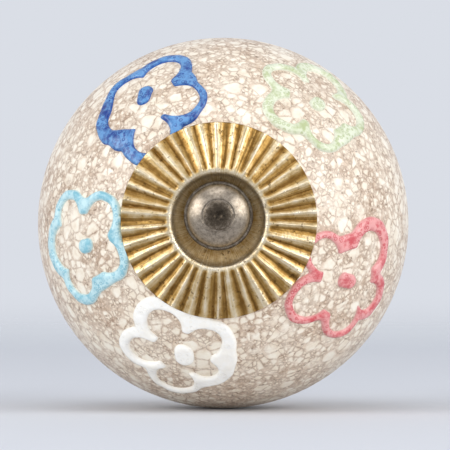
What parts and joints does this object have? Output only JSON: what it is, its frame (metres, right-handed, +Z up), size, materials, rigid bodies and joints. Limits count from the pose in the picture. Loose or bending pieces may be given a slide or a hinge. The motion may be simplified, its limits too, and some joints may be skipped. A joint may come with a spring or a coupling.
{
  "type": "cabinet knob",
  "caption": "Round crackle-glazed ceramic knob with raised enamel flowers, a pleated brass rosette and a threaded stud, for pulling a drawer or cabinet door.",
  "frame": {"origin": "middle of the face that meets the drawer front, on the stud's axis", "axes": "+Y along the stud, into the drawer; -Y is the front of the knob; +Z up"},
  "size_m": [0.04, 0.0713, 0.0399],
  "materials": {
    "crackle_glaze": "glossy cream glaze with brown crackle",
    "antique_brass": "stamped and antiqued",
    "plated_steel": "tarnished nickel plate",
    "enamel_blue": "glossy trailed enamel",
    "enamel_green": "glossy trailed enamel",
    "enamel_pink": "glossy trailed enamel",
    "enamel_white": "glossy trailed enamel",
    "enamel_turquoise": "glossy trailed enamel"
  },
  "bodies": {
    "root": {"ceramic_ball": "crackle_glaze", "front_rosette": "antique_brass", "back_cup": "antique_brass", "through_bolt": "plated_steel", "lock_nut": "plated_steel", "flower_blue": "enamel_blue", "flower_green": "enamel_green", "flower_pink": "enamel_pink", "flower_white": "enamel_white", "flower_turquoise": "enamel_turquoise"}
  },
  "joints": []
}
